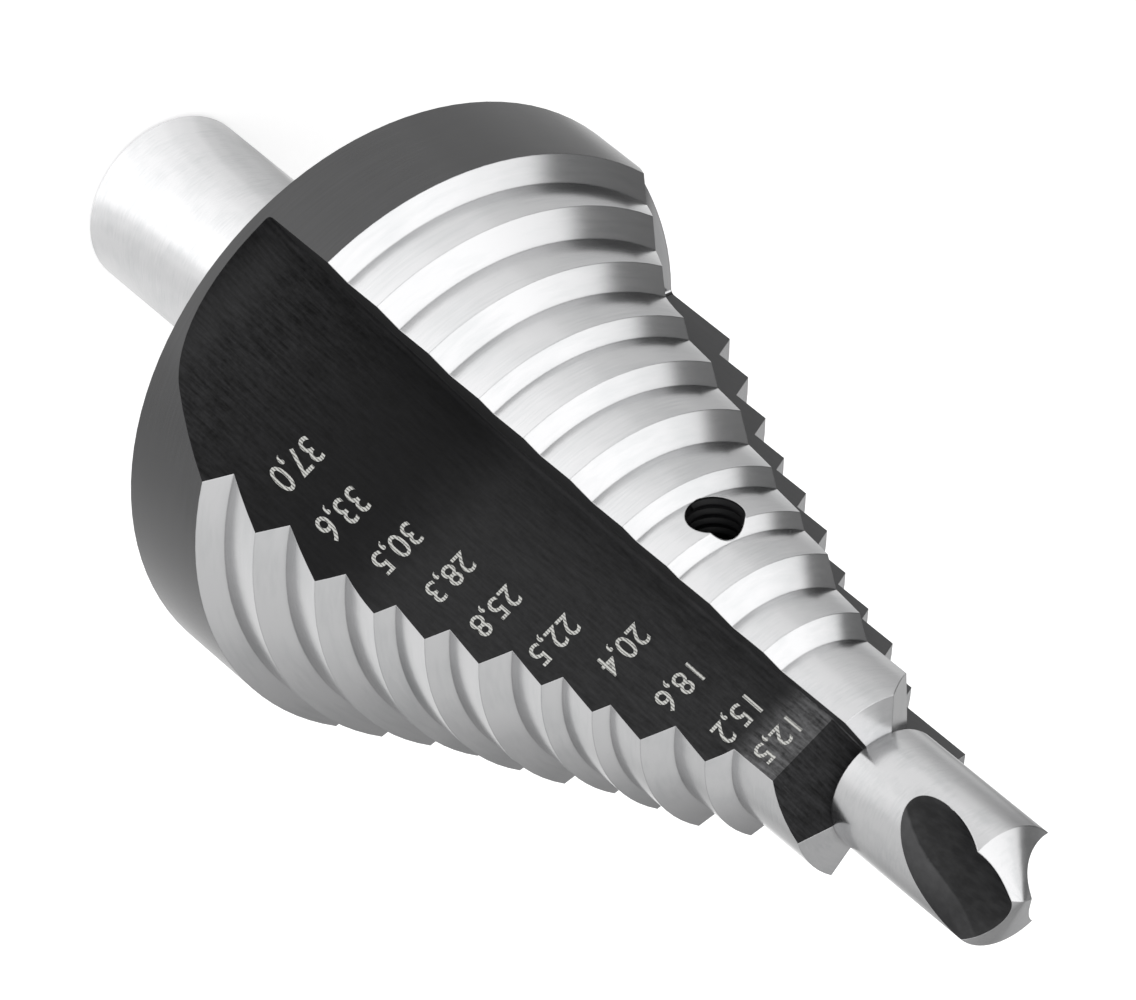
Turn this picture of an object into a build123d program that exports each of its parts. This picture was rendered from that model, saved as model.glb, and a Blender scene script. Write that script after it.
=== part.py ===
from build123d import *
import math
import os

# A step drill with ten cutting diameters, a replaceable pilot drill and the screw that holds it.
# Millimetres and degrees. The tool stands on its shank with its point up, and its axis is Z.
# Turned in the cut, it runs anticlockwise as seen from above its point.

# Shank and collar
shank_diameter = 12.0
shank_length = 26.5
shank_edge_break = 0.5
collar_diameter = 40.0
collar_length = 7.4
collar_edge_break = 0.25

# Steps, listed from the collar to the front
step_diameters = [37.0, 33.6, 30.5, 28.3, 25.8, 22.5, 20.4, 18.6, 15.2, 12.5]
land_length = 3.1
front_land_length = 6.3
shoulder_half_angle = 58.0
front_half_angle = 77.0

# Flutes: a flat rake face beside the axis, and a floor square to it that drops towards the front
flute_count = 3
third_flute_extra_depth = 0.65
rake_offset = 0.68
rim_behind_flute = 1.1
ramp_height_at_collar = 14.5
ramp_angle = 28.8
floor_height_at_ramp = 9.1
floor_angle = 10.1
front_floor_height = 4.4
facet_length = 2.95
facet_angle = 48.0
wheel_overrun = 1.0
wheel_corner_radius = 3.5
ramp_blend_radius = 12.0
flute_root_radius = 0.35

# Pilot drill
pilot_diameter = 8.0
pilot_length = 13.35
pilot_point_angle = 130.0
pilot_shank_diameter = 5.0
pilot_shank_length = 22.0
pilot_shank_edge_break = 0.4
pilot_bore_play = 0.02
bore_end_space = 1.0
bore_point_angle = 118.0

# Pilot drill flutes and chisel edge; near the tip the flutes turn faster than their helix
pilot_flute_count = 2
pilot_flute_length = 7.3
pilot_flute_run_out = 4.6
pilot_run_out_softness = 0.25
points_per_run_out = 4
points_before_run_out = 2
pilot_flute_radius = 2.6
pilot_web = 1.2
pilot_helix_angle = 30.0
pilot_flute_turn = 87.5
pilot_end_turn = 12.0
pilot_end_turn_growth = 5
chisel_turn = 131.0
chisel_half_offset = 0.5

# Clamping screw, set into the middle of one land; M4, drawn plain at its thread's mean diameter
screw_diameter = 3.6
screw_length = 5.0
screw_thread_play = 0.02
screw_edge_break = 0.4
screw_setback = 16.8
screw_turn = 60.0
screw_socket_width = 2.0
screw_socket_depth = 1.8
screw_seat_depth = 0.5
screw_seat_length = 7.0

shank_radius = shank_diameter / 2
collar_radius = collar_diameter / 2
pilot_radius = pilot_diameter / 2
collar_front = shank_length + collar_length


def body_outline():
    """Half section of the turned body as (radius, height) points, from the shank's end to the front face."""
    points = [
        (0, 0),
        (shank_radius - shank_edge_break, 0),
        (shank_radius, shank_edge_break),
        (shank_radius, shank_length),
        (collar_radius - collar_edge_break, shank_length),
        (collar_radius, shank_length + collar_edge_break),
        (collar_radius, collar_front),
    ]
    radius, height = points[-1]
    shoulder_rise = 1 / math.tan(math.radians(shoulder_half_angle))
    for diameter in step_diameters:
        height += (radius - diameter / 2) * shoulder_rise
        radius = diameter / 2
        points.append((radius, height))
        is_front = diameter == step_diameters[-1]
        height += front_land_length if is_front else land_length
        points.append((radius, height))
    front_rise = 1 / math.tan(math.radians(front_half_angle))
    height += (radius - pilot_radius) * front_rise
    points += [(pilot_radius, height), (0, height)]
    return points


def revolved(points):
    """Solid of revolution about Z from a closed (radius, height) outline."""
    outline = Polyline(*[(radius, 0, height) for radius, height in points], close=True)
    return revolve(make_face(outline), Axis.Z, 360)


front_height = body_outline()[-1][1]
tip_height = front_height + pilot_length
screw_height = front_height - screw_setback


def flute_cutter():
    """What one pass of the grinding wheel removes: a prism along -X, its section drawn on the YZ plane."""
    outside = collar_radius + wheel_corner_radius
    wall = shank_length + rim_behind_flute
    ramp_fall = math.tan(math.radians(ramp_angle))
    floor_fall = math.tan(math.radians(floor_angle))
    wall_foot = ramp_height_at_collar + (collar_front - wall) * ramp_fall
    ramp_end = collar_front + (ramp_height_at_collar - floor_height_at_ramp) / ramp_fall
    floor_end = ramp_end + (floor_height_at_ramp - front_floor_height) / floor_fall
    facet_start = front_height - facet_length
    facet_end = front_height + wheel_overrun
    facet_foot = front_floor_height - (facet_end - facet_start) * math.tan(math.radians(facet_angle))
    section = Plane.YZ * make_face(
        Polyline(
            (outside, wall),
            (wall_foot, wall),
            (floor_height_at_ramp, ramp_end),
            (front_floor_height, floor_end),
            (front_floor_height, facet_start),
            (facet_foot, facet_end),
            (outside, facet_end),
            close=True,
        )
    )
    wall_corner = section.vertices().sort_by_distance((0, wall_foot, wall))[0]
    section = fillet(wall_corner, wheel_corner_radius)
    ramp_corner = section.vertices().sort_by_distance((0, floor_height_at_ramp, ramp_end))[0]
    section = fillet(ramp_corner, ramp_blend_radius)
    return Pos(rake_offset, 0, 0) * extrude(section, amount=-collar_diameter, dir=(1, 0, 0))


def rounded_flute_cutter():
    """The flute cutter with the small root radius where the floor meets the rake face."""
    cutter = flute_cutter()
    rake_side = cutter.faces().sort_by(Axis.X)[-1]
    root = [edge for edge in rake_side.edges() if edge.center().Y < collar_radius]
    return fillet(root, flute_root_radius)


def body():
    """The turned piece: shank, collar and steps, with its flutes, the pilot drill's bore and the screw's hole."""
    solid = revolved(body_outline())
    cutter = rounded_flute_cutter()
    deeper_cutter = Pos(0, -third_flute_extra_depth, 0) * cutter
    for index in range(flute_count):
        is_third = index == flute_count - 1
        solid -= Rot(0, 0, index * 360 / flute_count) * (deeper_cutter if is_third else cutter)
    bore_radius = pilot_shank_diameter / 2 + pilot_bore_play
    bore_end = front_height - pilot_shank_length - bore_end_space
    bore_point = bore_radius / math.tan(math.radians(bore_point_angle / 2))
    solid -= revolved([(0, bore_end - bore_point), (bore_radius, bore_end), (bore_radius, tip_height), (0, tip_height)])
    hole = Cylinder(screw_diameter / 2, collar_radius, align=(Align.CENTER, Align.CENTER, Align.MIN))
    return solid - screw_place() * hole


def screw_place():
    """Frame on the axis at the screw's height, its Z pointing out along the screw."""
    return Pos(0, 0, screw_height) * Rot(0, 0, screw_turn) * Rot(0, 90, 0)


def pilot_point(turn):
    """Half of the pilot drill's ground point: one cone beside the axis, kept on its own side of the chisel edge."""
    half_angle = math.radians(pilot_point_angle / 2)
    reach = 2 * pilot_diameter
    fall = reach / math.tan(half_angle)
    apex = tip_height + chisel_half_offset / math.tan(half_angle)
    cone = revolved([(0, front_height - fall), (reach, front_height - fall), (reach, apex - fall), (0, apex)])
    side = Box(reach, reach, 2 * (fall + pilot_length), align=(Align.CENTER, Align.MIN, Align.CENTER))
    return Rot(0, 0, turn) * ((Pos(0, -chisel_half_offset, 0) * cone) & (Pos(0, 0, front_height) * side))


def pilot_flute():
    """One helical flute of the pilot drill: a round cutter that sinks in along its run-out, then follows the helix."""
    full_depth = pilot_web / 2 + pilot_flute_radius
    sink = pilot_radius + pilot_flute_radius - full_depth
    start = tip_height - pilot_flute_length
    twist = math.degrees(math.tan(math.radians(pilot_helix_angle)) / pilot_radius)
    spacing = pilot_flute_run_out / points_per_run_out
    last_point = math.ceil((pilot_flute_length + pilot_flute_radius) / spacing)
    points = []
    for index in range(-points_before_run_out, last_point + 1):
        height = index * spacing
        above = 1 - height / pilot_flute_run_out
        radius = full_depth + sink * (above + math.hypot(above, pilot_run_out_softness)) / 2
        end_turn = pilot_end_turn * (max(height, 0) / pilot_flute_length) ** pilot_end_turn_growth
        angle = math.radians(pilot_flute_turn + twist * height + end_turn)
        points.append((radius * math.cos(angle), radius * math.sin(angle), start + height))
    path = Spline(*points)
    outward = (math.cos(math.radians(pilot_flute_turn)), math.sin(math.radians(pilot_flute_turn)), 0)
    section = Plane(origin=path @ 0, x_dir=outward, z_dir=path % 0) * Circle(pilot_flute_radius)
    return sweep(section, path)


def pilot_drill():
    """The pilot drill: a plain shank with a flat for the screw, a shoulder, a short fluted head and its point."""
    shank = pilot_shank_diameter / 2
    end = front_height - pilot_shank_length
    solid = revolved(
        [
            (0, end),
            (shank - pilot_shank_edge_break, end),
            (shank, end + pilot_shank_edge_break),
            (shank, front_height),
            (pilot_radius, front_height),
            (pilot_radius, tip_height),
            (0, tip_height),
        ]
    )
    point = pilot_point(chisel_turn) + pilot_point(chisel_turn + 180)
    above = Pos(0, 0, front_height) * Cylinder(
        pilot_diameter, 2 * pilot_length, align=(Align.CENTER, Align.CENTER, Align.MIN)
    )
    solid -= above - point
    flute = pilot_flute()
    for index in range(pilot_flute_count):
        solid -= Rot(0, 0, index * 360 / pilot_flute_count) * flute
    seat = Box(
        screw_seat_length,
        pilot_shank_diameter,
        pilot_shank_diameter,
        align=(Align.CENTER, Align.CENTER, Align.MIN),
    )
    return solid - screw_place() * Pos(0, 0, shank - screw_seat_depth) * seat


def set_screw():
    """The clamping screw: its flat end on the pilot drill's flat, its hexagon socket outwards."""
    radius = screw_diameter / 2 - screw_thread_play
    screw = Cylinder(radius, screw_length, align=(Align.CENTER, Align.CENTER, Align.MIN))
    screw = chamfer(screw.edges().filter_by(GeomType.CIRCLE), screw_edge_break)
    socket = extrude(
        RegularPolygon(screw_socket_width / 2, 6, major_radius=False),
        amount=screw_socket_depth,
    )
    screw -= Pos(0, 0, screw_length - screw_socket_depth) * socket
    return screw_place() * Pos(0, 0, pilot_shank_diameter / 2 - screw_seat_depth) * screw


os.makedirs("parts", exist_ok=True)
export_step(body(), "parts/body.step")
export_step(pilot_drill(), "parts/pilot_drill.step")
export_step(set_screw(), "parts/set_screw.step")
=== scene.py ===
import math

import bpy
from mathutils import Matrix, Vector


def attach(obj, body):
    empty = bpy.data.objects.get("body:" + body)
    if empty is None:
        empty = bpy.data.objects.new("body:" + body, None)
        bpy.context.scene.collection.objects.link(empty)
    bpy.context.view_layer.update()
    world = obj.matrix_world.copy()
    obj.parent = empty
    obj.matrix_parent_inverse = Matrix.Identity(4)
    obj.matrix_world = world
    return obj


# A step drill with its pilot drill, standing on its shank with the point up.
# Sizes are in millimetres, and MM turns them to metres where a mesh or a node needs them.
MM = 0.001

# Sizes of the solids, as they were drawn
SHANK_LENGTH = 26.5
SHANK_RADIUS = 6.0
COLLAR_RADIUS = 20.0
COLLAR_FRONT = 33.9
COLLAR_EDGE_BREAK = 0.25
STEP_DIAMETERS = [37.0, 33.6, 30.5, 28.3, 25.8, 22.5, 20.4, 18.6, 15.2, 12.5]
LAND_LENGTH = 3.1
FRONT_LAND_LENGTH = 6.3
SHOULDER_HALF_ANGLE = 58.0
FRONT_HALF_ANGLE = 77.0
BORE_RADIUS = 2.52
FLUTE_COUNT = 3
RAKE_OFFSET = 0.68
RAMP_HEIGHT_AT_COLLAR = 14.5
RAMP_ANGLE = 28.8
RAMP_BLEND_RADIUS = 12.0
FLOOR_HEIGHT_AT_RAMP = 9.1
FLOOR_ANGLE = 10.1
FRONT_FLOOR_HEIGHT = 4.4
THIRD_FLUTE_EXTRA_DEPTH = 0.65
FACET_LENGTH = 2.95
FACET_ANGLE = 48.0
PILOT_RADIUS = 4.0
PILOT_LENGTH = 13.35
PILOT_POINT_ANGLE = 130.0
CHISEL_TURN = 131.0
CHISEL_HALF_OFFSET = 0.5
SCREW_TURN = 60.0
SCREW_SETBACK = 16.8
SCREW_END = 7.0
SCREW_HOLE_RADIUS = 1.8


def linear(code):
    """Turns an sRGB hex colour into the linear RGBA that a shader takes."""
    parts = [int(code[first:first + 2], 16) / 255 for first in (1, 3, 5)]
    return [part / 12.92 if part <= 0.04045 else ((part + 0.055) / 1.055) ** 2.4 for part in parts] + [1.0]


def node(tree, kind, inputs=None, **settings):
    """Adds a node, sets its options, and gives each named input a value or a link."""
    made = tree.nodes.new(kind)
    for name, value in settings.items():
        setattr(made, name, value)
    for name, value in (inputs or {}).items():
        if isinstance(value, bpy.types.NodeSocket):
            tree.links.new(value, made.inputs[name])
        else:
            made.inputs[name].default_value = value
    return made


def set_stops(ramp, stops):
    """Fills a colour ramp with linear RGBA colours at positions from 0 to 1, and returns its node."""
    elements = ramp.color_ramp.elements
    while len(elements) > 1:
        elements.remove(elements[-1])
    for index, (position, colour) in enumerate(stops):
        stop = elements[0] if index == 0 else elements.new(position)
        stop.position = position
        stop.color = colour
    return ramp


def new_material(name):
    """An empty material with its tree and its output node."""
    material = bpy.data.materials.new(name)
    material.use_nodes = True
    tree = material.node_tree
    tree.nodes.clear()
    return material, tree, tree.nodes.new("ShaderNodeOutputMaterial")


def turned_position(tree):
    """Place on a turned surface, for marks that run round the axis. X and Y are the direction from the
    axis, and Z is the height plus the radius in mm, which changes along lands and shoulders alike."""
    place = node(tree, "ShaderNodeTexCoord").outputs["Object"]
    flat = node(
        tree, "ShaderNodeVectorMath", {0: place, 1: (1000, 1000, 0)}, operation="MULTIPLY"
    ).outputs[0]
    radius = node(tree, "ShaderNodeVectorMath", {0: flat}, operation="LENGTH").outputs["Value"]
    around = node(tree, "ShaderNodeVectorMath", {0: flat}, operation="NORMALIZE").outputs[0]
    height = node(tree, "ShaderNodeSeparateXYZ", {0: place}).outputs["Z"]
    along = node(
        tree, "ShaderNodeMath", {0: height, 1: 1000.0, 2: radius}, operation="MULTIPLY_ADD"
    ).outputs[0]
    turned = node(tree, "ShaderNodeSeparateXYZ", {0: around})
    return node(
        tree,
        "ShaderNodeCombineXYZ",
        {"X": turned.outputs["X"], "Y": turned.outputs["Y"], "Z": along},
    ).outputs[0]


def ground_steel():
    """High-speed steel, cylindrically ground: bright, with fine lines round the axis that draw each
    light out across them."""
    material, tree, output = new_material("ground_high_speed_steel")
    place = turned_position(tree)
    # Grinding lines of a 100 grit wheel lie about 0.05 mm apart; drawn 0.16 mm apart so that they show.
    lines_at = node(
        tree, "ShaderNodeVectorMath", {0: place, 1: (5.0, 5.0, 1 / 0.16)}, operation="MULTIPLY"
    ).outputs[0]
    lines = node(
        tree, "ShaderNodeTexNoise", {"Vector": lines_at, "Scale": 1.0, "Detail": 3.0, "Roughness": 0.6}
    ).outputs[0]
    # Spark-out marks and handling leave faint cloudy patches, a few millimetres long.
    clouds_at = node(
        tree, "ShaderNodeVectorMath", {0: place, 1: (3.0, 3.0, 0.45)}, operation="MULTIPLY"
    ).outputs[0]
    clouds = node(
        tree, "ShaderNodeTexNoise", {"Vector": clouds_at, "Scale": 1.0, "Detail": 2.0, "Roughness": 0.5}
    ).outputs[0]
    mixed = node(tree, "ShaderNodeMath", {0: lines, 1: 0.8, 2: clouds}, operation="MULTIPLY_ADD").outputs[0]
    colour = set_stops(
        node(tree, "ShaderNodeValToRGB", {0: mixed}), [(0.6, linear("#d6d7d8")), (1.0, linear("#e0e0e1"))]
    ).outputs[0]
    # Painted shade: the inner corners of the steps are darkened over about 0.5 mm, where shade falls.
    corner = node(tree, "ShaderNodeAmbientOcclusion", {"Distance": 0.5 * MM}, samples=6).outputs["AO"]
    corner_shade = node(
        tree, "ShaderNodeMapRange", {0: corner, 1: 0.3, 2: 0.85, 3: 0.35, 4: 1.0}
    ).outputs[0]
    corner_shaded_colour = node(tree, "ShaderNodeVectorMath", {0: colour, "Scale": corner_shade}, operation="SCALE").outputs[0]
    rough = node(tree, "ShaderNodeMapRange", {0: mixed, 1: 0.5, 2: 1.2, 3: 0.16, 4: 0.19}).outputs[0]
    # Edges left by the wheel are a few hundredths of a millimetre round; 0.1 mm here, to catch light.
    edge = node(tree, "ShaderNodeBevel", {"Radius": 0.1 * MM}, samples=4).outputs[0]
    bump = node(
        tree, "ShaderNodeBump", {"Strength": 0.03, "Distance": 0.01 * MM, "Height": lines, "Normal": edge}
    ).outputs[0]
    tangent = node(tree, "ShaderNodeTangent", direction_type="RADIAL", axis="Z").outputs[0]
    shader = node(
        tree,
        "ShaderNodeBsdfPrincipled",
        {
            "Base Color": corner_shaded_colour,
            "Metallic": 1.0,
            "Roughness": rough,
            "Anisotropic": 0.5,
            "Anisotropic Rotation": 0.25,
            "Normal": bump,
            "Tangent": tangent,
        },
    )
    tree.links.new(shader.outputs[0], output.inputs["Surface"])
    return material


def heat_darkened_collar():
    """The collar's outside: left dark by heat treatment and only skimmed, so it is a satin dark grey."""
    material, tree, output = new_material("heat_darkened_collar_steel")
    place = turned_position(tree)
    # Turning marks 0.2 mm apart
    lines_at = node(
        tree, "ShaderNodeVectorMath", {0: place, 1: (4.0, 4.0, 1 / 0.2)}, operation="MULTIPLY"
    ).outputs[0]
    lines = node(
        tree, "ShaderNodeTexNoise", {"Vector": lines_at, "Scale": 1.0, "Detail": 3.0, "Roughness": 0.6}
    ).outputs[0]
    colour = set_stops(
        node(tree, "ShaderNodeValToRGB", {0: lines}), [(0.3, linear("#2b2b2c")), (0.75, linear("#333334"))]
    ).outputs[0]
    edge = node(tree, "ShaderNodeBevel", {"Radius": 0.06 * MM}, samples=4).outputs[0]
    bump = node(
        tree, "ShaderNodeBump", {"Strength": 0.1, "Distance": 0.01 * MM, "Height": lines, "Normal": edge}
    ).outputs[0]
    shader = node(
        tree,
        "ShaderNodeBsdfPrincipled",
        {"Base Color": colour, "Roughness": 0.16, "Specular IOR Level": 0.65, "Normal": bump},
    )
    tree.links.new(shader.outputs[0], output.inputs["Surface"])
    return material


# The black oxide's tones give its grey, with any painted light and shade, and the strength of the wheel
# marks at heights over this many mm.
TONE_REACH = 100


def black_oxide(name, turn, across, tones, gloss, smooth=0.4):
    """Black oxide over wheel marks that run along the flute, which leaves a dull, slightly streaked black.
    Turn brings the flute's own frame to the object's, across scales the marks in that frame, and tones
    gives the grey by height, painted light and shade included on floors and facets, and how strongly the
    marks show."""
    material, tree, output = new_material(name)
    place = node(tree, "ShaderNodeTexCoord").outputs["Object"]
    in_mm = node(
        tree, "ShaderNodeVectorMath", {0: place, 1: (1000, 1000, 1000)}, operation="MULTIPLY"
    ).outputs[0]
    own = node(
        tree,
        "ShaderNodeVectorRotate",
        {"Vector": in_mm, "Axis": (0, 0, 1), "Angle": -math.radians(turn)},
        rotation_type="AXIS_ANGLE",
    ).outputs[0]
    height = node(tree, "ShaderNodeSeparateXYZ", {0: own}).outputs["Z"]
    share = node(
        tree, "ShaderNodeMapRange", {0: height, 1: 0.0, 2: TONE_REACH, 3: 0.0, 4: 1.0}
    ).outputs[0]
    tone = set_stops(
        node(tree, "ShaderNodeValToRGB", {0: share}),
        [(level / TONE_REACH, linear(grey)[:3] + [strength]) for level, grey, strength in tones],
    )
    # Wheel marks, 0.2 mm apart and about 1.5 mm long
    marks_at = node(tree, "ShaderNodeVectorMath", {0: own, 1: across}, operation="MULTIPLY").outputs[0]
    marks = node(
        tree, "ShaderNodeTexNoise", {"Vector": marks_at, "Scale": 1.0, "Detail": 3.0, "Roughness": 0.55}
    ).outputs[0]
    # The coating's crystals are far too small to see; a 0.3 mm grain stands for its uneven feel.
    grain = node(
        tree, "ShaderNodeTexNoise", {"Vector": own, "Scale": 1 / 0.3, "Detail": 3.0, "Roughness": 0.65}
    ).outputs[0]
    relief = node(tree, "ShaderNodeMath", {0: grain, 1: 0.5, 2: marks}, operation="MULTIPLY_ADD").outputs[0]
    swing = node(
        tree, "ShaderNodeMapRange", {0: relief, 1: 0.45, 2: 1.05, 3: -1.0, 4: 1.0}, clamp=False
    ).outputs[0]
    lift = node(
        tree, "ShaderNodeMath", {0: swing, 1: tone.outputs["Alpha"], 2: 1.0}, operation="MULTIPLY_ADD"
    ).outputs[0]
    shade = node(
        tree, "ShaderNodeVectorMath", {0: tone.outputs["Color"], "Scale": lift}, operation="SCALE"
    ).outputs[0]
    rough = node(
        tree, "ShaderNodeMapRange", {0: relief, 1: 0.4, 2: 1.1, 3: smooth, 4: smooth + 0.15}
    ).outputs[0]
    edge = node(tree, "ShaderNodeBevel", {"Radius": 0.06 * MM}, samples=4).outputs[0]
    bump = node(
        tree,
        "ShaderNodeBump",
        {"Strength": tone.outputs["Alpha"], "Distance": 0.03 * MM, "Height": relief, "Normal": edge},
    ).outputs[0]
    shader = node(
        tree,
        "ShaderNodeBsdfPrincipled",
        {"Base Color": shade, "Roughness": rough, "Specular IOR Level": gloss, "Normal": bump},
    )
    tree.links.new(shader.outputs[0], output.inputs["Surface"])
    return material


def pilot_flute_oxide():
    """Black oxide in the pilot drill's flutes, rubbed paler by chips on one wall, away from the point."""
    material, tree, output = new_material("black_oxide_pilot_flute")
    spot = node(tree, "ShaderNodeTexCoord")
    height = node(tree, "ShaderNodeSeparateXYZ", {0: spot.outputs["Object"]}).outputs["Z"]
    facing = node(tree, "ShaderNodeSeparateXYZ", {0: spot.outputs["Normal"]})
    # The product is the same for both flutes, which are half a turn apart.
    side = node(
        tree, "ShaderNodeMath", {0: facing.outputs["X"], 1: facing.outputs["Y"]}, operation="MULTIPLY"
    ).outputs[0]
    wall = node(tree, "ShaderNodeMapRange", {0: side, 1: -0.01, 2: 0.03, 3: 0.0, 4: 1.0}).outputs[0]
    from_point = node(
        tree, "ShaderNodeMapRange", {0: height, 1: 85.5 * MM, 2: 88.0 * MM, 3: 0.5, 4: 0.15}
    ).outputs[0]
    rubbed = node(tree, "ShaderNodeMath", {0: wall, 1: from_point}, operation="MULTIPLY").outputs[0]
    # Streaks 0.4 mm wide that run up the flute
    drawn_out = node(
        tree,
        "ShaderNodeVectorMath",
        {0: spot.outputs["Object"], 1: (1000, 1000, 300)},
        operation="MULTIPLY",
    ).outputs[0]
    streaks = node(
        tree, "ShaderNodeTexNoise", {"Vector": drawn_out, "Scale": 1 / 0.4, "Detail": 3.0}
    ).outputs[0]
    amount = node(
        tree, "ShaderNodeMath", {0: streaks, 1: 0.4, 2: rubbed}, operation="MULTIPLY_ADD"
    ).outputs[0]
    colour = set_stops(
        node(tree, "ShaderNodeValToRGB", {0: amount}), [(0.15, linear("#1d1d1e")), (1.0, linear("#525253"))]
    ).outputs[0]
    shader = node(
        tree,
        "ShaderNodeBsdfPrincipled",
        {"Base Color": colour, "Roughness": 0.45, "Specular IOR Level": 0.3},
    )
    tree.links.new(shader.outputs[0], output.inputs["Surface"])
    return material


def laser_mark():
    """Laser marking: the oxide is burnt off in close passes, which leaves pale grey, upright hatching."""
    material, tree, output = new_material("laser_marked_steel")
    place = node(tree, "ShaderNodeTexCoord").outputs["Object"]
    in_mm = node(
        tree, "ShaderNodeVectorMath", {0: place, 1: (1000, 1000, 1000)}, operation="MULTIPLY"
    ).outputs[0]
    # Real passes are 0.05 mm apart; drawn 0.17 mm apart so that they show. A scale of 0.314 is for 1 mm.
    passes = node(
        tree,
        "ShaderNodeTexWave",
        {"Vector": in_mm, "Scale": 0.314 / 0.17, "Distortion": 0.8, "Detail Scale": 3.0},
        bands_direction="X",
    ).outputs[1]
    speckle = node(
        tree, "ShaderNodeTexNoise", {"Vector": in_mm, "Scale": 1 / 0.1, "Detail": 2.0}
    ).outputs[0]
    amount = node(
        tree, "ShaderNodeMath", {0: passes, 1: 0.7, 2: speckle}, operation="MULTIPLY_ADD"
    ).outputs[0]
    colour = set_stops(
        node(tree, "ShaderNodeValToRGB", {0: amount}), [(0.45, linear("#62625f")), (1.0, linear("#c6c6c2"))]
    ).outputs[0]
    shader = node(
        tree,
        "ShaderNodeBsdfPrincipled",
        {"Base Color": colour, "Roughness": 0.6, "Specular IOR Level": 0.3},
    )
    tree.links.new(shader.outputs[0], output.inputs["Surface"])
    return material


def body_outline():
    """Half section of the turned body from the collar's front on, as (radius, height) in mm."""
    radius, height = COLLAR_RADIUS, COLLAR_FRONT
    corners = [(radius, height)]
    for diameter in STEP_DIAMETERS:
        height += (radius - diameter / 2) / math.tan(math.radians(SHOULDER_HALF_ANGLE))
        radius = diameter / 2
        corners.append((radius, height))
        height += FRONT_LAND_LENGTH if diameter == STEP_DIAMETERS[-1] else LAND_LENGTH
        corners.append((radius, height))
    height += (radius - PILOT_RADIUS) / math.tan(math.radians(FRONT_HALF_ANGLE))
    corners.append((PILOT_RADIUS, height))
    return corners


OUTLINE = body_outline()
FRONT = OUTLINE[-1][1]
RAMP_FALL = math.tan(math.radians(RAMP_ANGLE))
FLOOR_FALL = math.tan(math.radians(FLOOR_ANGLE))
RAMP_END = COLLAR_FRONT + (RAMP_HEIGHT_AT_COLLAR - FLOOR_HEIGHT_AT_RAMP) / RAMP_FALL

# Direction of the screw, from the axis outwards, and the point of the axis that it starts from
SCREW_OUT = Vector((math.cos(math.radians(SCREW_TURN)), math.sin(math.radians(SCREW_TURN)), 0))
SCREW_ROOT = Vector((0, 0, FRONT - SCREW_SETBACK))


def surface_radius(height):
    """Radius of the turned body at a height, both in mm."""
    if height < SHANK_LENGTH:
        return SHANK_RADIUS
    if height < COLLAR_FRONT:
        return COLLAR_RADIUS
    for (radius, low), (next_radius, high) in zip(OUTLINE, OUTLINE[1:]):
        if height < high:
            return radius + (next_radius - radius) * (height - low) / (high - low)
    return PILOT_RADIUS


def floor_height(height):
    """Distance of a flute's ramp, blend or floor from the axis plane at a height, both in mm."""
    half = math.radians((RAMP_ANGLE - FLOOR_ANGLE) / 2)
    middle = math.radians((RAMP_ANGLE + FLOOR_ANGLE) / 2)
    reach = RAMP_BLEND_RADIUS / math.cos(half)
    centre_y = FLOOR_HEIGHT_AT_RAMP + reach * math.cos(middle)
    centre_z = RAMP_END + reach * math.sin(middle)
    low = centre_z - RAMP_BLEND_RADIUS * math.sin(math.radians(RAMP_ANGLE))
    high = centre_z - RAMP_BLEND_RADIUS * math.sin(math.radians(FLOOR_ANGLE))
    if height < low:
        return RAMP_HEIGHT_AT_COLLAR - (height - COLLAR_FRONT) * RAMP_FALL
    if height < high:
        return centre_y - math.sqrt(RAMP_BLEND_RADIUS**2 - (height - centre_z) ** 2)
    return max(FLOOR_HEIGHT_AT_RAMP - (height - RAMP_END) * FLOOR_FALL, FRONT_FLOOR_HEIGHT)


# Tones of a flute's ramp and floor, and of its facet: height in mm, grey, strength of the wheel marks. The
# greys hold painted light and shade: the front floor, from 71.7 mm, is painted lighter for the light its
# flatter face catches, and the facet is painted darker towards the pilot, for the shade there.
FLOOR_TONES_AND_SHADING = [
    (27, "#202021", 0.6), (30, "#1d1d1e", 1.1), (34, "#171718", 1.0), (38, "#141415", 0.5),
    (42, "#131314", 0.35), (47, "#242425", 0.4), (70.2, "#252526", 0.6), (71.7, "#4a4a4b", 1.0),
]
FACET_TONES_AND_SHADE = [(74, "#29292a", 1.0), (77, "#212122", 0.9)]

# Wheel marks per mm along X, Y and Z of a flute's own frame, on its floor and on its rake face
OVER_FLOOR = (5.0, 0.6, 0.6)
OVER_RAKE = (0.6, 5.0, 0.6)


def flute_finishes(number, turn):
    """The three ground parts of a flute: ramp and floor, rake face, and front facet."""
    is_third = number == FLUTE_COUNT
    # Painted light: the third flute's rake face gets a lighter grey than the other two, a lit copy of the
    # same black oxide.
    rake_grey_lit_on_third = "#4d4d4e" if is_third else "#303031"
    rake_tones = [(30, rake_grey_lit_on_third, 0.1), (70, rake_grey_lit_on_third, 0.1)]
    floor_gloss, floor_smooth = (0.5, 0.2) if is_third else (0.2, 0.4)
    floor_name = f"black_oxide_floor_{number}"
    return [
        black_oxide(floor_name, turn, OVER_FLOOR, FLOOR_TONES_AND_SHADING, floor_gloss, floor_smooth),
        black_oxide(f"black_oxide_rake_{number}", turn, OVER_RAKE, rake_tones, 0.3),
        black_oxide(f"black_oxide_facet_{number}", turn, OVER_FLOOR, FACET_TONES_AND_SHADE, 0.12),
    ]


# Order of the body's finishes: two steels, then floor, rake face and facet of each flute, then the bore
STEEL, COLLAR, FIRST_FLUTE = 0, 1, 2
FLOOR, RAKE, FACET = 0, 1, 2
PARTS_PER_FLUTE = 3
BORE = FIRST_FLUTE + PARTS_PER_FLUTE * FLUTE_COUNT

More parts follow.
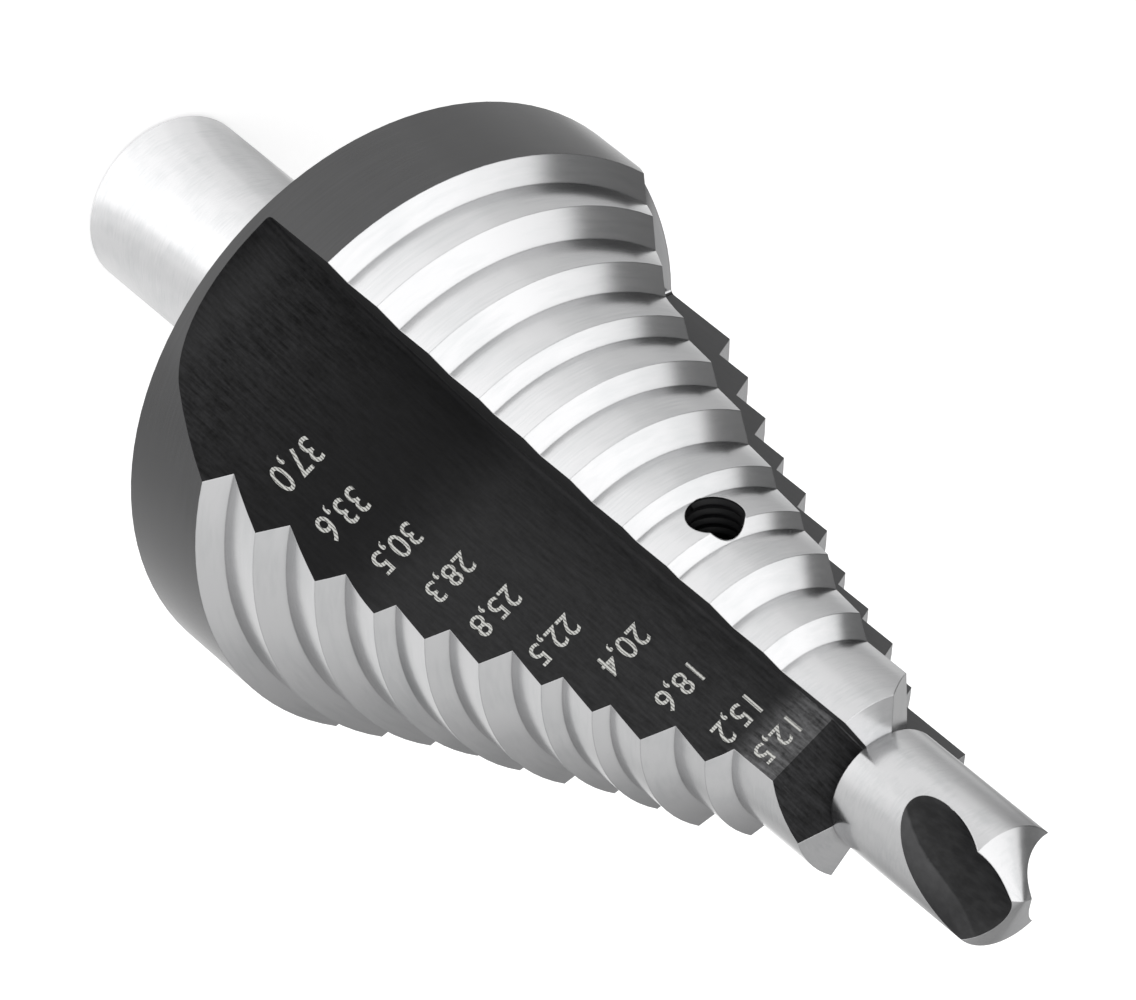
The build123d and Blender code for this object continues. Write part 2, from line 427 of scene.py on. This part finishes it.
# How far the middle of a mesh's face may lie from the drawn surface that it belongs to, in mm
ON_SKIN = 0.08
ON_WALL = 0.05
ON_POINT = 0.04
ON_FLOOR = 0.15
ON_RAKE = 0.1
ON_END = 0.01


def is_turned(place, facing):
    """Whether a face lies on the turned outside, and not in a flute, the bore or the screw's hole."""
    radius = math.hypot(place.x, place.y)
    across = (facing.y * place.x - facing.x * place.y) / max(radius, 0.01)
    on_front = place.z > FRONT - 0.4 and facing.z > 0.9
    on_skin = on_front or abs(radius - surface_radius(place.z)) < ON_SKIN
    behind_steps = place.z < SHANK_LENGTH + COLLAR_EDGE_BREAK
    return behind_steps or on_skin and abs(across) < 0.2


def flute_finish(place, facing):
    """Number of the finish of a face inside the flutes."""
    finish = FIRST_FLUTE
    for index in range(FLUTE_COUNT):
        to_own = Matrix.Rotation(math.radians(-360 / FLUTE_COUNT * index), 3, "Z")
        own, own_facing = to_own @ place, to_own @ facing
        is_third = index == FLUTE_COUNT - 1
        drop = max(own.z - FRONT + FACET_LENGTH, 0) * math.tan(math.radians(FACET_ANGLE))
        drop += THIRD_FLUTE_EXTRA_DEPTH if is_third else 0
        if own.x >= RAKE_OFFSET + ON_RAKE or own.y <= floor_height(own.z) - drop - ON_FLOOR:
            continue
        part = FLOOR
        if own_facing.x < -0.9:
            part = RAKE
        elif place.z > FRONT - FACET_LENGTH and facing.z > 0.5:
            part = FACET
        # The third flute's facet and end wall take the bright steel finish; on the end wall it is painted
        # sheen, standing for black oxide seen at a grazing angle.
        steel_and_painted_sheen = is_third and own_facing.x > -0.5 and facing.z > 0.6
        finish = STEEL if steel_and_painted_sheen else FIRST_FLUTE + PARTS_PER_FLUTE * index + part
    return finish


def dress_body(body, finishes):
    """Gives each face of the turned body the finish that its place and direction call for."""
    body.data.materials.clear()
    for finish in finishes:
        body.data.materials.append(finish)
    for face in body.data.polygons:
        place, facing = face.center / MM, face.normal
        radius = math.hypot(place.x, place.y)
        from_screw = place - SCREW_ROOT
        from_screw_axis = (from_screw - SCREW_OUT * from_screw.dot(SCREW_OUT)).length
        if is_turned(place, facing):
            within_collar = SHANK_LENGTH - ON_END < place.z < COLLAR_FRONT - ON_END
            outside_shank = radius > SHANK_RADIUS + 0.2
            face.material_index = COLLAR if within_collar and outside_shank else STEEL
        elif radius < BORE_RADIUS + ON_WALL or from_screw_axis < SCREW_HOLE_RADIUS + ON_WALL:
            face.material_index = BORE
        else:
            face.material_index = flute_finish(place, facing)


def dress_pilot(pilot, steel, oxide):
    """Ground steel outside, on the point and on what lies inside the body; black oxide in the flutes."""
    pilot.data.materials.clear()
    pilot.data.materials.append(steel)
    pilot.data.materials.append(oxide)
    tip = FRONT + PILOT_LENGTH
    rise = 1 / math.tan(math.radians(PILOT_POINT_ANGLE / 2))
    for face in pilot.data.polygons:
        place, facing = face.center / MM, face.normal
        beside = Matrix.Rotation(math.radians(-CHISEL_TURN), 3, "Z") @ place
        from_cone_axis = math.hypot(beside.x, abs(beside.y) + CHISEL_HALF_OFFSET)
        under_point = tip + (CHISEL_HALF_OFFSET - from_cone_axis) * rise - place.z
        from_side = math.hypot(place.x, place.y) - PILOT_RADIUS
        outside = abs(from_side) < ON_WALL and abs(facing.z) < 0.05
        point = abs(under_point) < ON_POINT and facing.z > 0.8
        inside_body = place.z < FRONT + ON_END
        face.material_index = 0 if outside or point or inside_body else 1


def mesh_piece(name, points, faces, finish):
    """Links a new piece from points in mm and faces, with one finish."""
    mesh = bpy.data.meshes.new(name)
    mesh.from_pydata([Vector(point) * MM for point in points], [], faces)
    mesh.materials.append(finish)
    piece = bpy.data.objects.new(name, mesh)
    bpy.context.scene.collection.objects.link(piece)
    return piece


# Each mark with its middle's distance across the flute and its middle's height, both in mm
MARKS = [
    ("37,0", -9.1, 37.0),
    ("33,6", -9.4, 40.7),
    ("30,5", -8.7, 44.3),
    ("28,3", -7.9, 48.3),
    ("25,8", -7.6, 52.2),
    ("22,5", -6.6, 56.5),
    ("20,4", -4.3, 60.4),
    ("18,6", -3.7, 64.9),
    ("15,2", -2.9, 69.2),
    ("12,5", -2.3, 72.4),
]


def diameter_marks(finish):
    """Plain step diameters on the floor of the flute that faces +Y, upright when the point is up."""
    letter_height, letter_share_of_size, narrowing, thickening, film = 1.75, 0.73, 0.84, 0.012, 0.012
    points, faces = [], []
    for text, across, height in MARKS:
        curve = bpy.data.curves.new("mark", "FONT")
        curve.body = text
        curve.size = letter_height / letter_share_of_size
        curve.align_x = "CENTER"
        curve.offset = thickening
        holder = bpy.data.objects.new("mark", curve)
        bpy.context.scene.collection.objects.link(holder)
        drawn = bpy.data.meshes.new_from_object(holder.evaluated_get(bpy.context.evaluated_depsgraph_get()))
        first = len(points)
        for vertex in drawn.vertices:
            z = height + vertex.co.y - letter_height / 2
            points.append((across - narrowing * vertex.co.x, floor_height(z) + film, z))
        faces += [[first + corner for corner in face.vertices] for face in drawn.polygons]
        bpy.data.objects.remove(holder)
        bpy.data.curves.remove(curve)
        bpy.data.meshes.remove(drawn)
    return mesh_piece("diameter_marks", points, faces, finish)


def thread_ridges(finish):
    """The M4 thread above the set screw: a helical ridge that ends where the land's surface cuts it."""
    pitch, crest_radius, root_radius = 0.7, 1.6, SCREW_HOLE_RADIUS + 0.03
    crest_half_width, root_half_width = 0.05, 0.3
    start, end, steps_per_turn = SCREW_END + 0.35, 10.2, 40
    section = [
        (-root_half_width, root_radius),
        (-crest_half_width, crest_radius),
        (crest_half_width, crest_radius),
        (root_half_width, root_radius),
    ]
    up = Vector((0, 0, 1))
    side = SCREW_OUT.cross(up)
    count = int((end - start) / pitch * steps_per_turn)
    points, faces, inside = [], [], []
    for step in range(count + 1):
        angle = 2 * math.pi * step / steps_per_turn
        radial = up * math.cos(angle) + side * math.sin(angle)
        base = SCREW_ROOT + SCREW_OUT * (start + pitch * step / steps_per_turn)
        wall = base + radial * SCREW_HOLE_RADIUS + SCREW_OUT * root_half_width
        inside.append(math.hypot(wall.x, wall.y) < surface_radius(wall.z) - 0.02)
        points += [base + SCREW_OUT * shift + radial * radius for shift, radius in section]
    for step in range(count):
        if inside[step] and inside[step + 1]:
            for corner in range(len(section) - 1):
                low, high = len(section) * step + corner, len(section) * (step + 1) + corner
                faces.append((low, high, high + 1, low + 1))
    piece = mesh_piece("screw_hole_thread", points, faces, finish)
    for face in piece.data.polygons:
        face.use_smooth = True
    return piece


# Grey levels of the studio as the metal sees it, by direction from the axis in degrees: the floor near
# the tool, in the middle and far out, the horizon, and the dome above it
NEAR_FLOOR_GREYS = [
    (-180, 0.87), (-157, 0.87), (-137, 0.82), (-117, 0.84), (-97, 1.1), (-77, 1.5), (-57, 1.3),
    (-37, 0.75), (-20, 0.5), (-9, 0.54), (3, 0.62), (15, 0.66), (27, 0.75), (39, 0.93), (51, 1.02),
    (63, 1.15), (83, 1.3), (103, 1.5), (123, 1.45), (138, 1.0), (150, 0.85), (163, 0.82), (180, 0.87),
]
MIDDLE_FLOOR_GREYS = [
    (-180, 0.66), (-157, 0.62), (-137, 0.5), (-117, 0.6), (-97, 1.1), (-77, 1.0), (-57, 0.4),
    (-37, 0.62), (-17, 0.51), (3, 0.59), (23, 0.76), (43, 0.88), (63, 0.84), (83, 0.88), (103, 0.95),
    (123, 0.9), (143, 0.75), (163, 0.72), (180, 0.66),
]
FAR_FLOOR_GREYS = [
    (-180, 0.55), (-157, 0.47), (-127, 0.34), (-97, 0.45), (-77, 0.45), (-57, 0.45), (-37, 0.05),
    (-7, 0.03), (3, 0.12), (13, 0.6), (23, 0.85), (43, 0.95), (63, 0.8), (83, 0.5), (123, 0.45),
    (150, 0.55), (180, 0.55),
]
HORIZON_GREYS = [(-180, 0.27), (-85, 0.27), (-50, 0.06), (60, 0.06), (95, 0.27), (180, 0.27)]
DOME_GREYS = [
    (-180, 0.8), (-150, 0.66), (-124, 0.5), (-90, 0.45), (-60, 0.4), (-35, 0.16), (-14, 0.2),
    (0, 0.6), (30, 0.9), (90, 0.9), (150, 0.9), (180, 0.8),
]

# Where each farther part of the floor starts to show and where it has taken over, in mm from the middle
# of the rings, and that middle's place
FLOOR_RINGS = [(80, 92, MIDDLE_FLOOR_GREYS), (108, 118, FAR_FLOOR_GREYS)]
RINGS_MIDDLE = (6, 8)


def turn_share(tree, place):
    """Direction of a place from the axis, as a share of the full turn from -180 to 180 degrees."""
    parts = node(tree, "ShaderNodeSeparateXYZ", {0: place})
    angle = node(
        tree, "ShaderNodeMath", {0: parts.outputs["Y"], 1: parts.outputs["X"]}, operation="ARCTAN2"
    ).outputs[0]
    return node(tree, "ShaderNodeMapRange", {0: angle, 1: -math.pi, 2: math.pi, 3: 0.0, 4: 1.0}).outputs[0]


def greys_round(tree, share, greys):
    """Soft greys round the axis, from levels at angles in degrees from -180 to 180."""
    ramp = node(tree, "ShaderNodeValToRGB", {0: share})
    ramp.color_ramp.interpolation = "EASE"
    stops = [((angle + 180) / 360, (level, level, level, 1)) for angle, level in greys]
    return set_stops(ramp, stops).outputs[0]


def studio_floor():
    """A plain white floor. In reflections it is a lit sweep, brighter in front of the tool than behind."""
    mesh = bpy.data.meshes.new("floor")
    half_width = 3.0
    corners = [(x * half_width, y * half_width, 0) for x, y in ((-1, -1), (1, -1), (1, 1), (-1, 1))]
    mesh.from_pydata(corners, [], [(0, 1, 2, 3)])
    floor = bpy.data.objects.new("floor", mesh)
    bpy.context.scene.collection.objects.link(floor)
    material, tree, output = new_material("painted_studio_floor")
    path = node(tree, "ShaderNodeLightPath")
    paint = node(tree, "ShaderNodeBsdfDiffuse", {"Color": linear("#f4f4f4")})
    glow = node(tree, "ShaderNodeEmission", {"Color": (1, 1, 1, 1), "Strength": 0.5})
    lit = node(tree, "ShaderNodeAddShader", {0: paint.outputs[0], 1: glow.outputs[0]})
    place = node(tree, "ShaderNodeTexCoord").outputs["Object"]
    share = turn_share(tree, place)
    middle = (-RINGS_MIDDLE[0] * MM, -RINGS_MIDDLE[1] * MM, 0)
    from_middle = node(tree, "ShaderNodeVectorMath", {0: place, 1: middle}, operation="ADD").outputs[0]
    away = node(tree, "ShaderNodeVectorMath", {0: from_middle}, operation="LENGTH").outputs["Value"]
    swept = greys_round(tree, share, NEAR_FLOOR_GREYS)
    for start, end, greys in FLOOR_RINGS:
        ring = node(
            tree, "ShaderNodeMapRange", {0: away, 1: start * MM, 2: end * MM, 3: 0.0, 4: 1.0}
        ).outputs[0]
        beyond = greys_round(tree, share, greys)
        swept = node(tree, "ShaderNodeMix", {0: ring, 6: swept, 7: beyond}, data_type="RGBA").outputs[2]
    seen = node(tree, "ShaderNodeEmission", {"Color": swept, "Strength": 1.0})
    mixed = node(
        tree,
        "ShaderNodeMixShader",
        {0: path.outputs["Is Glossy Ray"], 1: lit.outputs[0], 2: seen.outputs[0]},
    )
    tree.links.new(mixed.outputs[0], output.inputs["Surface"])
    mesh.materials.append(material)


def soft_lamp():
    """One soft lamp above the tool, for the shadow. The metal doesn't mirror it."""
    lamp_data = bpy.data.lights.new("softbox", "AREA")
    lamp_data.shape = "DISK"
    lamp_data.size = 0.5
    lamp_data.energy = 1.6
    lamp = bpy.data.objects.new("softbox", lamp_data)
    lamp.location = (-0.25, 0.45, 0.6)
    towards_tool = Vector((0, 0, 0.04)) - lamp.location
    lamp.rotation_euler = towards_tool.to_track_quat("-Z", "Y").to_euler()
    lamp.visible_glossy = False
    bpy.context.scene.collection.objects.link(lamp)


def studio_dome():
    """A white dome. In reflections it is dark at the horizon, with a bright panel overhead."""
    world = bpy.data.worlds.new("studio")
    bpy.context.scene.world = world
    world.use_nodes = True
    tree = world.node_tree
    tree.nodes.clear()
    output = tree.nodes.new("ShaderNodeOutputWorld")
    path = node(tree, "ShaderNodeLightPath")
    toward = node(tree, "ShaderNodeTexCoord").outputs["Generated"]
    share = turn_share(tree, toward)
    horizon = greys_round(tree, share, HORIZON_GREYS)
    sweep = greys_round(tree, share, DOME_GREYS)
    upward = node(tree, "ShaderNodeSeparateXYZ", {0: toward}).outputs["Z"]
    rise = node(tree, "ShaderNodeMapRange", {0: upward, 1: 0.08, 2: 0.5, 3: 0.0, 4: 1.0}).outputs[0]
    low = node(tree, "ShaderNodeMix", {0: rise, 6: horizon, 7: sweep}, data_type="RGBA").outputs[2]
    # The bright panel overhead leans to the front and right of the tool.
    lean = node(
        tree, "ShaderNodeVectorMath", {0: toward, 1: (0.25, 0.4, 1.0)}, operation="DOT_PRODUCT"
    ).outputs["Value"]
    overhead = node(tree, "ShaderNodeMapRange", {0: lean, 1: 0.735, 2: 0.81, 3: 0.0, 4: 1.0}).outputs[0]
    panel = node(tree, "ShaderNodeMapRange", {0: lean, 1: 0.82, 2: 1.04, 3: 1.05, 4: 1.35}).outputs[0]
    dome = node(tree, "ShaderNodeMix", {0: overhead, 6: low, 7: panel}, data_type="RGBA").outputs[2]
    plain = node(tree, "ShaderNodeBackground", {"Color": (1, 1, 1, 1), "Strength": 0.75})
    shaped = node(tree, "ShaderNodeBackground", {"Color": dome, "Strength": 1.0})
    white = node(tree, "ShaderNodeBackground", {"Color": (1, 1, 1, 1), "Strength": 1.0})
    lit = node(
        tree,
        "ShaderNodeMixShader",
        {0: path.outputs["Is Glossy Ray"], 1: plain.outputs[0], 2: shaped.outputs[0]},
    )
    seen = node(
        tree,
        "ShaderNodeMixShader",
        {0: path.outputs["Is Camera Ray"], 1: lit.outputs[0], 2: white.outputs[0]},
    )
    tree.links.new(seen.outputs[0], output.inputs["Surface"])


def photo_camera():
    """The camera at the photograph's angle: a long lens from above, rolled so that the point is low. Its
    place and its directions come from a fit to the edges of the steps."""
    data = bpy.data.cameras.new("camera")
    data.sensor_width = 36.0
    data.lens = 316.9
    data.clip_start = 0.05
    data.clip_end = 20.0
    camera = bpy.data.objects.new("camera", data)
    right = Vector((0.693507, -0.434044, 0.575025))
    up = Vector((0.714320, 0.518149, -0.470392))
    place = Vector((-55.87, 449.34, 451.31))
    turned = Matrix((right, up, right.cross(up))).transposed().to_4x4()
    camera.matrix_world = Matrix.Translation(place * MM) @ turned
    bpy.context.scene.collection.objects.link(camera)
    bpy.context.scene.camera = camera


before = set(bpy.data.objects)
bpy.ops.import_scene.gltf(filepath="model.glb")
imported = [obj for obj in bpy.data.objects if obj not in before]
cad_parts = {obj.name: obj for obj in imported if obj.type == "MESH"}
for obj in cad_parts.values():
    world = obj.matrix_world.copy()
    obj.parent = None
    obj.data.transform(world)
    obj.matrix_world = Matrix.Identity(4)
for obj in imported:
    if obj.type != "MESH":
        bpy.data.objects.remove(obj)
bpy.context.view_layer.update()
photo_camera()
studio_floor()
studio_dome()
soft_lamp()

steel = ground_steel()
flutes = [flute_finishes(index + 1, 360 / FLUTE_COUNT * index) for index in range(FLUTE_COUNT)]
bore_tones = [(0, "#19191a", 0.2), (90, "#19191a", 0.2)]
plain_oxide = black_oxide("black_oxide_bore", 0, (2.0, 2.0, 2.0), bore_tones, 0.2)
all_flutes = [finish for flute in flutes for finish in flute]
dress_body(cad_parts["body"], [steel, heat_darkened_collar()] + all_flutes + [plain_oxide])
dress_pilot(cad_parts["pilot_drill"], steel, pilot_flute_oxide())
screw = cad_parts["set_screw"]
screw.data.materials.clear()
screw.data.materials.append(plain_oxide)

marks = diameter_marks(laser_mark())
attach(marks, "root")
thread = thread_ridges(plain_oxide)
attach(thread, "root")

bpy.context.scene.view_settings.view_transform = "Standard"
